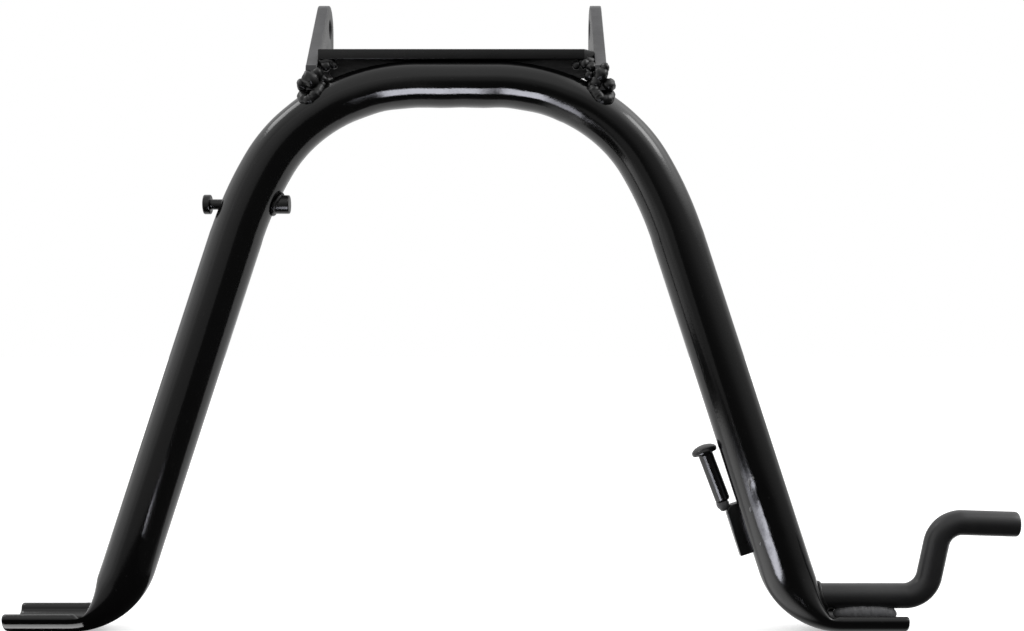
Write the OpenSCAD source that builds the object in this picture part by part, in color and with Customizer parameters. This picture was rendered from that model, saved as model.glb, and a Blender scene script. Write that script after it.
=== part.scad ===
// Centre stand of a scooter: one bent steel tube with pressed feet, a welded pivot head,
// a foot lever, a spring pin and a stop peg. Everything is welded into one rigid piece.
// The origin is the middle of the pivot axis. X runs along that axis towards the foot
// lever, Y towards the back of the stand and Z up. The sizes below are counted from the
// ground and from the plane that the bent tube lies in, and from_pivot() moves them over.
// The form that takes the most skill is the foot: the round tube is lofted into an open
// trough with rounded lips while it bends outward.

/* [Bent tube] */
// Outer diameter of the tube
tube_d = 25; // [22:0.5:28]
// Wall thickness of the tube
tube_wall = 2.5; // [1.5:0.1:3.5]
// Height of the tube's centre line at the crown, above the ground
crown_h = 262.6; // [250:0.5:275]
// Lean of each leg away from the vertical, in degrees
leg_splay = 18; // [16:0.5:20]
// Distance between the two leg centre lines where they would meet the ground
leg_track = 335.4; // [320:1:350]
// Bend radius of the shoulders
shoulder_r = 80.8; // [70:0.2:88]
// Bend radius of the gentler curve between shoulder and leg
flank_r = 212.7; // [150:0.5:240]
// Angle that each shoulder bend turns through, in degrees
shoulder_turn = 62.4; // [56:0.2:66]
// Height of the arch's section as a share of its width, flattened by the bending
squash = 0.88; // [0.8:0.01:0.98]

/* [Feet] */
// Radius of the underside where the leg turns into the foot
heel_r = 40; // [34:0.5:46]
// Straight length of each foot beyond its heel bend
foot_reach = 30; // [20:0.5:40]
// Width of the pressed trough
foot_w = 29.4; // [27:0.2:33]
// Height of the left trough's lips above the ground
left_lip_h = 10.6; // [9:0.1:12]
// Height of the right trough's lips above the ground
right_lip_h = 9.4; // [8.6:0.1:12]
// Thickness of a folded lip
lip_t = 4.4; // [3.6:0.1:5]
// Thickness of the trough's floor, two pressed walls
floor_t = 4.8; // [4:0.1:5.4]

/* [Pivot head] */
// Height of the pivot axis above the crown's centre line
pivot_rise = 34.4; // [30:0.2:40]
// Distance of the pivot axis behind the plane of the tube
pivot_back = 36.8; // [32:0.2:40]
// Diameter of the pivot holes
pivot_d = 10; // [8:0.1:14]
// Width across the two ears
head_w = 143; // [134:0.5:150]
// Thickness of the ears
ear_t = 5.5; // [3:0.1:7]
// Radius of the rounded ear end round the pivot hole
ear_r = 12; // [10:0.1:12.8]
// Height above the crown's centre line at which the ear's sloping front edge starts
ear_brow_rise = 7.4; // [4:0.2:10]
// Distance of the ear's front edge in front of the tube's plane
ear_front = 9; // [6:0.1:10.5]
// Thickness of the cross plate
plate_t = 5; // [3:0.1:7]
// Distance from the tube's plane to the plate's front edge
plate_front = 6; // [3:0.1:8]
// Distance from the tube's plane to the plate's back edge
plate_back = 45; // [38:0.5:47]
// Cut across the plate's right front corner
plate_corner = 5; // [2:0.1:8]

/* [Foot lever] */
// Diameter of the lever's round bar
rod_d = 12; // [10:0.1:13]
// Height of the bar's centre above the trough's lips where it is welded on
rod_lift = 7.3; // [6.6:0.1:9]
// Height that the bar rises in its double bend
rod_rise = 35.2; // [32:0.2:44]
// Lean of the rising part away from the vertical, in degrees
rod_lean = 12.3; // [6:0.1:20]
// Bend radius of the bar's centre line
rod_bend_r = 12.5; // [11:0.1:15]
// Length of the straight bar between foot end and first bend
rod_step = 1.4; // [-2:0.1:8]
// Length of the outer straight end, where the rider's shoe presses
pedal_l = 26.4; // [20:0.1:50]
// Slope of the outer end down from the level, in degrees
pedal_droop = 1.8; // [0:0.1:6]
// Bevel round the bar's outer end
rod_bevel = 0.8; // [0.4:0.1:1.5]

/* [Spring pin] */
// Distance of the spring pin below the crown's centre line
spring_pin_drop = 57.7; // [53:0.1:66]
// Diameter of the spring pin's body
spring_pin_d = 9; // [8:0.1:10]
// Diameter of the groove that holds the spring's eye
spring_neck_d = 5; // [4:0.1:6]
// Diameter of the spring pin's head
spring_head_d = 9.4; // [9:0.1:12]
// Thickness of the spring pin's head
spring_head_t = 3.4; // [2.5:0.1:5]
// Free length of the groove outside the tube
spring_neck_l = 4.6; // [3:0.1:6]
// Length of the body that stands out of the tube on the inner side
spring_tail_l = 6.4; // [4:0.1:9]

/* [Stop peg] */
// Diameter of the peg's shank
peg_d = 7.2; // [6:0.1:8.5]
// Length of the peg's shank
peg_l = 25; // [20:0.5:30]
// Diameter of the peg's domed head
peg_head_d = 12.6; // [10:0.1:14]
// Height of the peg's domed head
peg_head_t = 4; // [3:0.1:5]
// Distance of the peg's lower end from the leg's axis
peg_offset = 17.6; // [16.4:0.1:19]
// Lean of the peg beyond the lean of the leg, in degrees
peg_lean = 2.8; // [0:0.1:5]
// Gap between the peg's lower end and the tab, filled by a weld
peg_gap = 2.6; // [2:0.1:3.2]
// Height above the ground of the leg's axis beside the tab's upper edge
tab_top_h = 64.3; // [60:0.1:72]
// Distance of the tab's outer edge from the leg's axis
tab_reach = 18; // [16.8:0.1:19.5]
// Length of the tab along the leg
tab_l = 25.2; // [20:0.2:27]
// Thickness of the tab
tab_t = 6; // [4:0.1:7]
// Distance of the tab's middle behind the tube's plane
tab_back = 7; // [5:0.1:8]

/* [Welds] */
// Half width of a heavy bead
bead_r = 3.2; // [2.5:0.1:3.8]
// Half width of a light bead
small_bead_r = 2.1; // [1.6:0.1:2.6]

/* [Hidden] */

$fn = 64;
left = -1;
right = 1;
paint = [0.11, 0.11, 0.12];
paint_lit = [0.24, 0.24, 0.25];
weld_paint = [0.16, 0.16, 0.17];

// Where two stretches of bar follow each other, the second is thinner by this step and
// runs on inside the first by the lap, so that they fuse into one solid
seam_step = 0.04;
lap = 1;
// Play between the spring pin and the hole that it is welded into
pin_play = 0.1;

tube_r = tube_d / 2;
bore_r = tube_r - tube_wall;
// Length that a leg's bar runs down past the first section of the foot
leg_over = 0.3;
// The legs lean by tan(leg_splay), and the arch is drawn round and then squashed in height,
// so that its round drawing ends at a steeper angle than the leg has.
arch_end = atan(1 / (tan(leg_splay) * squash));
shoulder_end = shoulder_r * [sin(shoulder_turn), cos(shoulder_turn) - 1];
flank_end = shoulder_end + flank_r
    * [sin(arch_end) - sin(shoulder_turn), cos(arch_end) - cos(shoulder_turn)];
leg_top_h = crown_h + squash * flank_end.y;
leg_top_x = leg_track / 2 - leg_top_h * tan(leg_splay);
crown_half = leg_top_x - flank_end.x;
shoulder_centre = [crown_half, crown_h / squash - shoulder_r];
flank_centre = shoulder_centre + (shoulder_r - flank_r) * [sin(shoulder_turn), cos(shoulder_turn)];
// Slope of the plane in which the squashed arch meets the leg
joint_slope = atan(squash / tan(arch_end));

heel_turn = 90 - leg_splay;
heel = [leg_track / 2 - tube_r / cos(leg_splay) + heel_r * tan(heel_turn / 2), heel_r];
foot_end_x = heel.x + foot_reach;
// Height at which a leg's centre line turns into the heel, and the leg's length above it
heel_top = heel.y + (heel_r - tube_r) * sin(180 + leg_splay);
leg_l = (leg_top_h - heel_top) / cos(leg_splay);
half_ring = 20;
lip_steps = 5;
crush_from = 55;
crush_to = 66;

pivot_h = crown_h + pivot_rise;
plate_z = crown_h + squash * tube_r;
ear_in = head_w / 2 - ear_t;
ear_mid = head_w / 2 - ear_t / 2;
// Height of an ear's back corner below the plate, and where its foot ends on the tube
ear_heel_drop = 6;
ear_foot_back = 0.8 * tube_r;

rod_r = rod_d / 2;
rod_h = right_lip_h + rod_lift;
rod_turn = 90 - rod_lean;
rod_tangent = rod_bend_r * tan(rod_turn / 2);
rod_first = foot_end_x + rod_step;
rod_corner = [rod_first + rod_tangent, rod_h];
rod_corner_up = rod_corner + [rod_rise * tan(rod_lean), rod_rise];
rod_second = rod_corner_up.x + rod_tangent;

spring_pin_h = crown_h - spring_pin_drop;
// Depth in the tube at which the pin's body follows its neck, just behind the outer wall
spring_neck_in = tube_wall / cos(leg_splay) + spring_pin_d / 2 * tan(leg_splay);
pin_bevel = 0.5;
peg_bevel = 0.8;
peg_head_rim = 1;
tab_corner = 4;
tab_outside = tab_back + tab_t / 2;

// Narrow cone that ends the tube's hollow in each foot
cone_tip_r = bore_r / 4;
cone_l = heel_r / 2;

bead_sides = 10;
bead_rings = 14;
// Share by which a bead's ripples swell it, the turn from one ring to the next, and the
// shares of its radius at its first two rings
ripple = 0.1;
ripple_turn = 150;
bead_end = [0.45, 0.85];
// Bead round the foot of an ear: its height on the tube, how far its round end reaches in
// front of the ear, and where it ends behind the tube's plane
ear_bead = 0.8 * bead_r;
ear_bead_front = 0.9 * bead_r;
ear_bead_back = 0.6 * tube_r;
// Bead under the plate: distances in from the ear and behind the tube's plane
plate_bead_path = [[1, 10], [1.2, 3], [2, -3.2], [8, -3]];
plate_bead_sink = 1;
plate_bead_rings = 12;
// The band round an ear ends below that bead
ear_bead_top = plate_z - plate_bead_sink - small_bead_r * (1 + 2 * ripple);
// Bead behind the crown
crown_bead_path = [-20, -7, 7, 20];
crown_bead_r = 1.4 * small_bead_r;
crown_bead_back = 0.55 * tube_r;
crown_bead_sink = 0.7 * small_bead_r;
// Collars round the spring pin and the lever's bar: how far their two ends stand out
pin_collar_wide = 1.4;
lever_collar_wide = 1.8;
collar_narrow = 0.5;
pin_collar_l = 2.2;
lever_collar_l = 4.4;
lever_collar_in = 0.9 * tube_r;
// Bead behind the tab and ball between peg and tab
tab_bead_out = 0.7;
tab_bead_over = 1.5;
tab_bead_short = 3;
peg_bead_r = peg_d / 2 - 0.4;
// Filler under the lever's bar
bed_r = 5.2;
bed_sink = 1;
bed_start = heel.x - 4;
bed_end = foot_end_x - 2;

function mix(a, b, t) = a + (b - a) * t;
function ease(t) = let (c = max(0, min(1, t))) c * c * (3 - 2 * c);
function unit(v) = v / norm(v);

// X of a leg's centre line at a height above the ground, on the right side
function leg_x(h) = leg_track / 2 - h * tan(leg_splay);

// Height of the shoulder's upper surface at a distance across and in front or behind
function shoulder_top(x, y) = crown_h + squash * (sqrt(
    pow(shoulder_r + sqrt(tube_r * tube_r - y * y), 2) - pow(abs(x) - crown_half, 2)
) - shoulder_r);

// Height of the shoulder's centre line at a distance across
function shoulder_h(x) = crown_h + squash * (
    sqrt(shoulder_r * shoulder_r - pow(abs(x) - crown_half, 2)) - shoulder_r
);

// Distance across of the flank's edge at a height, for a radius counted from its centre line
function flank_x(h, r) = flank_centre.x
    + sqrt(pow(flank_r + r, 2) - pow(h / squash - flank_centre.y, 2));

spring_out = flank_x(spring_pin_h, tube_r);
spring_in = flank_x(spring_pin_h, -tube_r);
spring_pin_l = spring_head_t + spring_neck_l + spring_out - spring_in + spring_tail_l;

// Angle that a bend of a radius turns through in the length of one lap
function lap_angle(r) = lap / r * 180 / PI;

module from_pivot() translate([0, -pivot_back, -pivot_h]) children();

// Bent tube

// A round bar bent in the tube's plane, drawn before the arch is squashed
module bent_bar(centre, r, bar_r, from, to)
    translate([centre.x, 0, centre.y])
        rotate([90, 0, 0])
            rotate([0, 0, 90 - to])
                rotate_extrude(angle = to - from)
                    translate([r, 0])
                        circle(r = bar_r);

module shoulder_bar(side, bar_r)
    mirror([side == left ? 1 : 0, 0, 0])
        bent_bar(shoulder_centre, shoulder_r, bar_r, 0, shoulder_turn);

module flank_bar(side, bar_r)
    mirror([side == left ? 1 : 0, 0, 0])
        bent_bar(
            flank_centre, flank_r, bar_r - seam_step,
            shoulder_turn - lap_angle(flank_r), arch_end + lap_angle(flank_r)
        );

// Presses what was drawn round down to the arch's real height. It draws in across its
// width by a trace as well.
module squashed() scale([1, 1 - 4 * seam_step / tube_d, squash]) children();

// The whole arch as a solid bar
module arch_bar(bar_r)
    squashed()
        union() {
            translate([-crown_half - lap, 0, crown_h / squash])
                rotate([0, 90, 0])
                    cylinder(r = bar_r - seam_step, h = 2 * (crown_half + lap));
            for (side = [left, right]) {
                shoulder_bar(side, bar_r);
                flank_bar(side, bar_r);
            }
        }

// Moves to a leg's centre line at a height: local Z runs up along the leg, local X outward
module on_leg(side, h)
    mirror([side == left ? 1 : 0, 0, 0])
        translate([leg_x(h), 0, h])
            rotate([0, -leg_splay, 0])
                children();

// A straight leg as a solid bar, ended at the top in the plane where the arch begins
module leg_bar(side, bar_r)
    difference() {
        on_leg(side, heel_top)
            translate([0, 0, -leg_over])
                cylinder(r = bar_r, h = leg_l + leg_over + tube_d);
        mirror([side == left ? 1 : 0, 0, 0])
            translate([leg_top_x, 0, leg_top_h])
                rotate([0, -joint_slope, 0])
                    translate([-tube_d, -tube_d, 0])
                        cube([2 * tube_d, 2 * tube_d, 3 * tube_d]);
    }

// Height above the heel's underside, along a spoke at an angle, of the leg's outer wall
function wall_above(a) = heel_r - (heel_r - tube_d) / cos(a);
// and of a level line at a height above the ground
function level_above(a, h) = heel_r - (heel_r - h) / cos(heel_turn - a);

// One half of the trough's upper outline, counted from the outer edge of a lip to the middle
function trough_half(i, w, v, floor) =
    i <= lip_steps
        ? let (a = 180 * i / lip_steps)
            [w - lip_t / 2 + lip_t / 2 * cos(a), v + lip_t / 2 * sin(a)]
        : let (a = 90 * (i - lip_steps) / (half_ring / 2 - lip_steps))
            [(w - lip_t) * cos(a), v - (v - floor) * sin(a)];
function trough_top(i, w, v, floor) =
    i <= half_ring / 2
        ? let (p = trough_half(i, w, v, floor)) [-p.x, p.y]
        : trough_half(half_ring - i, w, v, floor);

// Section of the foot on a spoke: round on the leg, pressed into a trough past the crush
function foot_section(a, lip_h) =
    let (
        crush = ease((a - crush_from) / (crush_to - crush_from)),
        w = mix(tube_r - seam_step, foot_w / 2, ease((a - 15) / (crush_to - 15))),
        v = mix(tube_r, lip_h - lip_t / 2, ease((a - 15) / (crush_to - 15))),
        low = a > 0 ? 0 : seam_step,
        floor = level_above(a, floor_t),
        top = max(wall_above(a) - seam_step, floor)
    )
    concat(
        [for (i = [0:half_ring]) [
            w * cos(180 * i / half_ring),
            v - (v - low) * sin(180 * i / half_ring)
        ]],
        [for (i = [1:half_ring - 1]) mix(
            [-w * cos(180 * i / half_ring), v + (top - v) * sin(180 * i / half_ring)],
            trough_top(i, w, v, floor),
            crush
        )]
    );

// A section placed in space on the spoke at an angle, and then moved outward
function on_spoke(section, a, out) =
    [for (p = section) [
        heel.x + out + (heel_r - p.y) * cos(180 + leg_splay + a),
        p.x,
        heel.y + (heel_r - p.y) * sin(180 + leg_splay + a)
    ]];

spokes = concat([for (a = [0:6:54]) a], [for (a = [56:2:68]) a]);

function foot_rings(lip_h) = concat(
    [[for (p = on_spoke(foot_section(0, lip_h), 0, 0)) p + lap * [-sin(leg_splay), 0, cos(leg_splay)]]],
    [for (a = spokes) if (a < heel_turn) on_spoke(foot_section(a, lip_h), a, 0)],
    [for (out = [0, foot_reach]) on_spoke(foot_section(heel_turn, lip_h), heel_turn, out)]
);

// The pressed foot, lofted from the round leg to the open trough
module foot(side, lip_h) {
    rings = foot_rings(lip_h);
    n = 2 * half_ring;
    last = len(rings) - 1;
    walls = [for (k = [0:last - 1]) for (i = [0:n - 1])
        let (j = (i + 1) % n)
            each [[k * n + i, k * n + j, (k + 1) * n + j], [k * n + i, (k + 1) * n + j, (k + 1) * n + i]]];
    // The ends are closed by strips between the lower and the upper outline
    function across(k, i) = k * n + (n - i) % n;
    caps = [for (k = [0, last]) for (i = [0:half_ring - 1])
        let (a = k * n + i, b = k * n + i + 1, c = across(k, i + 1), d = across(k, i))
            each k == 0
                ? (i == 0 ? [[a, c, b]] : i == half_ring - 1 ? [[a, d, b]] : [[a, c, b], [a, d, c]])
                : (i == 0 ? [[a, b, c]] : i == half_ring - 1 ? [[a, b, d]] : [[a, b, c], [a, c, d]])];
    mirror([side == left ? 1 : 0, 0, 0])
        polyhedron(points = [for (r = rings) each r], faces = concat(walls, caps));
}

module hoop_outside()
    union() {
        arch_bar(tube_r);
        leg_bar(left, tube_r);
        leg_bar(right, tube_r);
        foot(left, left_lip_h);
        foot(right, right_lip_h);
    }

// The tube's hollow, which the pressed feet close in a cone
module hoop_inside()
    union() {
        arch_bar(bore_r);
        for (side = [left, right]) {
            leg_bar(side, bore_r);
            on_leg(side, heel_top)
                mirror([0, 0, 1])
                    cylinder(r1 = bore_r - seam_step, r2 = cone_tip_r, h = cone_l);
        }
    }

module hoop_tube()
    color(paint)
        from_pivot()
            difference() {
                hoop_outside();
                hoop_inside();
                spring_pin_hole();
            }

// Pivot head

module cross_plate()
    color(paint)
        from_pivot()
            translate([0, 0, plate_z])
                linear_extrude(plate_t)
                    polygon([
                        [-ear_in, -plate_front],
                        [ear_in - plate_corner, -plate_front],
                        [ear_in, plate_corner - plate_front],
                        [ear_in, plate_back],
                        [-ear_in, plate_back]
                    ]);

// Outline of an ear seen from the side, as distance behind the tube's plane and height
brow = [-ear_front, crown_h + ear_brow_rise];
eye = [pivot_back, pivot_h];
brow_slope = atan2(eye.y - brow.y, eye.x - brow.x) + asin(ear_r / norm(eye - brow));
ear_foot_h = shoulder_h(ear_mid);
ear_outline = concat(
    [[-ear_front, ear_foot_h], brow],
    [for (i = [0:8]) let (a = mix(brow_slope + 90, 0, i / 8)) eye + ear_r * [cos(a), sin(a)]],
    [[eye.x + ear_r, plate_z - ear_heel_drop], [ear_foot_back, ear_foot_h]]
);

module ear_plate(side)
    translate([side * ear_mid - ear_t / 2, 0, 0])
        rotate([90, 0, 90])
            linear_extrude(ear_t)
                polygon(ear_outline);

module pivot_ear(side)
    difference() {
        ear_plate(side);
        translate([side * ear_mid, pivot_back, pivot_h])
            rotate([0, 90, 0])
                cylinder(d = pivot_d, h = 2 * ear_t, center = true);
        squashed()
            shoulder_bar(side, tube_r);
    }

module left_pivot_ear() color(paint_lit) from_pivot() pivot_ear(left);
module right_pivot_ear() color(paint_lit) from_pivot() pivot_ear(right);

// Foot lever

module rod_length(l) rotate([0, 90, 0]) cylinder(r = rod_r, h = l);

module foot_lever()
    color(paint)
        from_pivot()
            difference() {
                lever_bar();
                leg_bar(right, tube_r);
                foot(right, right_lip_h);
            }

// One of the bar's two bends
module rod_bend(centre, from, turn)
    translate([centre.x, 0, centre.y])
        rotate([90, 0, 0])
            rotate([0, 0, from - lap_angle(rod_bend_r)])
                rotate_extrude(angle = turn + 2 * lap_angle(rod_bend_r))
                    translate([rod_bend_r, 0])
                        circle(r = rod_r - 2 * seam_step);

module lever_bar()
    union() {
        translate([leg_x(rod_h), 0, rod_h])
            rod_length(rod_first - leg_x(rod_h));
        rod_bend([rod_first, rod_h + rod_bend_r], -90, rod_turn);
        translate([rod_corner.x, 0, rod_corner.y])
            rotate([0, rod_lean, 0])
                translate([0, 0, rod_tangent])
                    cylinder(r = rod_r, h = norm(rod_corner_up - rod_corner) - 2 * rod_tangent);
        rod_bend([rod_second, rod_corner_up.y - rod_bend_r], 90 - pedal_droop, rod_turn + pedal_droop);
        translate([rod_second, 0, rod_corner_up.y - rod_bend_r])
            rotate([0, pedal_droop, 0])
                translate([0, 0, rod_bend_r])
                    rotate([0, 90, 0])
                        rotate_extrude()
                            polygon([
                                [0, 0], [rod_r, 0], [rod_r, pedal_l - rod_bevel],
                                [rod_r - rod_bevel, pedal_l], [0, pedal_l]
                            ]);
    }

// Spring pin

// A narrow hole through the outer wall for the neck, and a wide one behind it for the body
module spring_pin_hole()
    translate([-spring_out, 0, spring_pin_h])
        rotate([0, 90, 0]) {
            translate([0, 0, -tube_r])
                cylinder(r = spring_neck_d / 2 + pin_play, h = tube_d);
            translate([0, 0, spring_neck_in - pin_play])
                cylinder(r = spring_pin_d / 2 + pin_play, h = 2 * tube_d);
        }

// Turned outline along the pin's axis: head, long neck and body
module spring_pin()
    color(paint_lit)
        from_pivot()
            translate([-spring_out - spring_neck_l - spring_head_t, 0, spring_pin_h])
                rotate([0, 90, 0])
                    rotate_extrude()
                        polygon([
                            [0, 0],
                            [spring_head_d / 2 - pin_bevel, 0],
                            [spring_head_d / 2, pin_bevel],
                            [spring_head_d / 2, spring_head_t],
                            [spring_neck_d / 2, spring_head_t],
                            [spring_neck_d / 2, spring_head_t + spring_neck_l + spring_neck_in],
                            [spring_pin_d / 2, spring_head_t + spring_neck_l + spring_neck_in],
                            [spring_pin_d / 2, spring_pin_l - pin_bevel],
                            [spring_pin_d / 2 - pin_bevel, spring_pin_l],
                            [0, spring_pin_l]
                        ]);

// Stop peg and its tab

// The tab's flat plate, which runs on into the leg
module tab_plate()
    on_leg(right, tab_top_h)
        translate([-tab_reach, tab_back - tab_t / 2, -tab_l])
            rotate([90, 0, 0])
                mirror([0, 0, 1])
                    linear_extrude(tab_t)
                        polygon(concat(
                            [[tab_reach - tube_r / 2, 0], [tab_reach - tube_r / 2, tab_l]],
                            [for (a = [0:22.5:90]) [
                                tab_corner * (1 - sin(a)), tab_l - tab_corner * (1 - cos(a))
                            ]],
                            [[0, 0]]
                        ));

module peg_tab()
    color(paint_lit)
        from_pivot()
            difference() {
                tab_plate();
                leg_bar(right, tube_r);
                foot(right, right_lip_h);
            }

// Moves to the peg's lower end: local Z runs up along the peg
module on_peg()
    on_leg(right, tab_top_h)
        translate([-peg_offset, tab_back, peg_gap])
            rotate([0, -peg_lean, 0])
                children();

// Turned outline: bevelled lower end, shank and domed head
module buffer_peg()
    color(paint_lit)
        from_pivot()
            on_peg()
                rotate_extrude()
                    polygon(concat(
                        [[0, 0], [peg_d / 2 - peg_bevel, 0], [peg_d / 2, peg_bevel], [peg_d / 2, peg_l]],
                        [[(peg_head_d - peg_bevel) / 2, peg_l]],
                        [for (a = [0:15:90]) [
                            peg_head_d / 2 * cos(a),
                            peg_l + peg_head_rim + (peg_head_t - peg_head_rim) * sin(a)
                        ]]
                    ));

// Welds

// Smooth path through a few hand-set points
function smooth_point(p, s) =
    let (
        last = len(p) - 1,
        i = min(floor(s), last - 1),
        t = s - i,
        a = p[max(i - 1, 0)], b = p[i], c = p[i + 1], d = p[min(i + 2, last)]
    )
    b + t * ((c - a) + t * ((2 * a - 5 * b + 4 * c - d) + t * (3 * (b - c) + d - a))) / 2;

// A rippled bead along a path, with rounded ends
module bead(path, r, rings) {
    centres = [for (k = [0:rings]) smooth_point(path, k * (len(path) - 1) / rings)];
    function swell(k) = r * (1 + ripple * sin(ripple_turn * k))
        * (k == 0 || k == rings ? bead_end[0] : k == 1 || k == rings - 1 ? bead_end[1] : 1);
    points = [for (k = [0:rings])
        let (
            run = unit(centres[min(k + 1, rings)] - centres[max(k - 1, 0)]),
            side = unit(cross([0, 0, 1], run)),
            up = cross(run, side)
        )
        for (i = [0:bead_sides - 1])
            centres[k] + swell(k) * (cos(360 * i / bead_sides) * side + sin(360 * i / bead_sides) * up)];
    walls = [for (k = [0:rings - 1]) for (i = [0:bead_sides - 1])
        let (j = (i + 1) % bead_sides, a = k * bead_sides, b = a + bead_sides)
            each [[a + i, b + j, a + j], [a + i, b + i, b + j]]];
    caps = [
        [for (i = [0:bead_sides - 1]) i],
        [for (i = [bead_sides - 1:-1:0]) rings * bead_sides + i]
    ];
    polyhedron(points = points, faces = concat(walls, caps));
}

module arch_near(side) squashed() shoulder_bar(side, tube_r);

// Raised band on the tube round the foot of an ear, with round ends and widest in front
module ear_band(side) {
    low = ear_foot_h + bead_r;
    band_h = ear_bead_top - low;
    intersection() {
        squashed() shoulder_bar(side, tube_r + ear_bead);
        translate([side * ear_mid, 0, low])
            union() {
                translate([0, ear_t / 2 + bead_r - ear_front - ear_bead_front, 0])
                    cylinder(r = ear_t / 2 + bead_r, h = band_h);
                translate([0, ear_bead_back, 0])
                    cylinder(r = ear_t / 2 + ear_bead, h = band_h);
                translate([-ear_t / 2 - ear_bead, bead_r - ear_front, 0])
                    cube([ear_t + 2 * ear_bead, ear_bead_back + ear_front - bead_r, band_h]);
            }
    }
}

module ear_weld(side)
    difference() {
        ear_band(side);
        arch_near(side);
        ear_plate(side);
    }

module left_ear_weld() color(weld_paint) from_pivot() ear_weld(left);
module right_ear_weld() color(weld_paint) from_pivot() ear_weld(right);

// Lumpy bead in the corner under the plate, against the ear's inner face
module plate_weld(side)
    difference() {
        bead(
            [for (p = plate_bead_path) [side * (ear_in - p.x), p.y, plate_z - plate_bead_sink]],
            small_bead_r, plate_bead_rings
        );
        arch_near(side);
        translate([-ear_in, -plate_front, plate_z])
            cube([2 * ear_in, plate_front + plate_back, plate_t]);
        ear_plate(side);
    }

module left_plate_weld() color(weld_paint) from_pivot() plate_weld(left);
module right_plate_weld() color(weld_paint) from_pivot() plate_weld(right);

// Bead along the back of the crown, under the plate
module crown_weld()
    color(weld_paint)
        from_pivot()
            difference() {
                bead(
                    [for (x = crown_bead_path) [x, crown_bead_back, plate_z - crown_bead_sink]],
                    crown_bead_r, bead_rings
                );
                arch_bar(tube_r);
                translate([-ear_in, -plate_front, plate_z])
                    cube([2 * ear_in, plate_front + plate_back, plate_t]);
            }

// Collar where the spring pin leaves the tube on the inner side
module spring_pin_weld()
    color(weld_paint)
        from_pivot()
            difference() {
                translate([-spring_in, 0, spring_pin_h])
                    rotate([0, 90, 0])
                        cylinder(
                            r1 = spring_pin_d / 2 + pin_collar_wide, r2 = spring_pin_d / 2 + collar_narrow,
                            h = pin_collar_l
                        );
                translate([-spring_out, 0, spring_pin_h])
                    rotate([0, 90, 0])
                        cylinder(r = spring_pin_d / 2, h = 3 * tube_d);
                squashed()
                    flank_bar(left, tube_r);
                leg_bar(left, tube_r);
            }

// Bead that holds the tab to the back of the leg
module tab_weld()
    color(weld_paint)
        from_pivot()
            difference() {
                on_leg(right, tab_top_h)
                    upright_bead(
                        -sqrt(tube_r * tube_r - tab_outside * tab_outside) - tab_bead_out,
                        tab_outside + tab_bead_out, -tab_l - tab_bead_over, -tab_bead_short, small_bead_r
                    );
                leg_bar(right, tube_r);
                foot(right, right_lip_h);
                on_leg(right, tab_top_h)
                    translate([-tab_reach, tab_back - tab_t / 2, -2 * tab_l])
                        cube([tab_reach, tab_t, 2 * tab_l]);
            }

// A rippled bead that runs straight along the local Z axis
module upright_bead(x, y, from, to, r)
    rotate([0, 90, 0])
        bead([[-from, y, x], [-(from + to) / 2, y, x], [-to, y, x]], r, bead_rings);

// Bead between the peg's lower end and the tab's upper edge
module peg_weld()
    color(weld_paint)
        from_pivot()
            difference() {
                on_leg(right, tab_top_h)
                    translate([-peg_offset, tab_back, peg_gap / 2])
                        sphere(r = peg_bead_r);
                on_peg()
                    cylinder(d = peg_d, h = peg_l);
                tab_plate();
            }

// Filler between the lever's bar and the trough's floor
module lever_bed_weld()
    color(weld_paint)
        from_pivot()
            difference() {
                bead(
                    [for (t = [0:1 / 3:1]) [mix(bed_start, bed_end, t), 0, rod_h - rod_r - bed_sink]],
                    bed_r, bead_rings
                );
                lever_bar();
                foot(right, right_lip_h);
            }

// Collar where the lever's bar meets the leg
module lever_collar_weld()
    color(weld_paint)
        from_pivot()
            difference() {
                translate([leg_x(rod_h) + lever_collar_in, 0, rod_h])
                    rotate([0, 90, 0])
                        cylinder(
                            r1 = rod_r + lever_collar_wide, r2 = rod_r + collar_narrow,
                            h = lever_collar_l
                        );
                lever_bar();
                leg_bar(right, tube_r);
                foot(right, right_lip_h);
            }

hoop_tube();
cross_plate();
left_pivot_ear();
right_pivot_ear();
foot_lever();
spring_pin();
buffer_peg();
peg_tab();
left_ear_weld();
right_ear_weld();
left_plate_weld();
right_plate_weld();
crown_weld();
spring_pin_weld();
tab_weld();
peg_weld();
lever_bed_weld();
lever_collar_weld();
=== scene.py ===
import math

import bmesh
import bpy
from mathutils import Matrix, Vector, noise


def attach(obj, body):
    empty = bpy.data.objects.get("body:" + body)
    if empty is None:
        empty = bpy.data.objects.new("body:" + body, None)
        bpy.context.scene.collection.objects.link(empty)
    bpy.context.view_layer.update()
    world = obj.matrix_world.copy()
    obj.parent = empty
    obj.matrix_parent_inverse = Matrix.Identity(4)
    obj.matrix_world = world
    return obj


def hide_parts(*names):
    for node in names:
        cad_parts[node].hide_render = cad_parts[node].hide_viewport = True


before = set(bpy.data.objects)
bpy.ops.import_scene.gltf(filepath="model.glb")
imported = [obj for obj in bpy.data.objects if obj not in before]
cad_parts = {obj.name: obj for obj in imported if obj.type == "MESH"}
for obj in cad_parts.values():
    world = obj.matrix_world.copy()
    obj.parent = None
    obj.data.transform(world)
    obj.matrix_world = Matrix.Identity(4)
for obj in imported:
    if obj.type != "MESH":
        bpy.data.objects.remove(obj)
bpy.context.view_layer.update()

# Sizes in millimetres, counted from the ground and from the plane of the bent tube, as in
# the construction. row() moves a point to the frame's own origin, the pivot axis.
PIVOT_BACK, PIVOT_H = 36.8, 297.0
TUBE_R = 12.5
CROWN_H = 262.6
SPLAY = math.radians(18)
LEG_TRACK = 335.4
SHOULDER_R, FLANK_R = 80.8, 212.7
SHOULDER_TURN = math.radians(62.4)
SQUASH = 0.88
HEEL_R, FOOT_REACH, FOOT_W = 40.0, 30.0, 29.4
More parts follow.
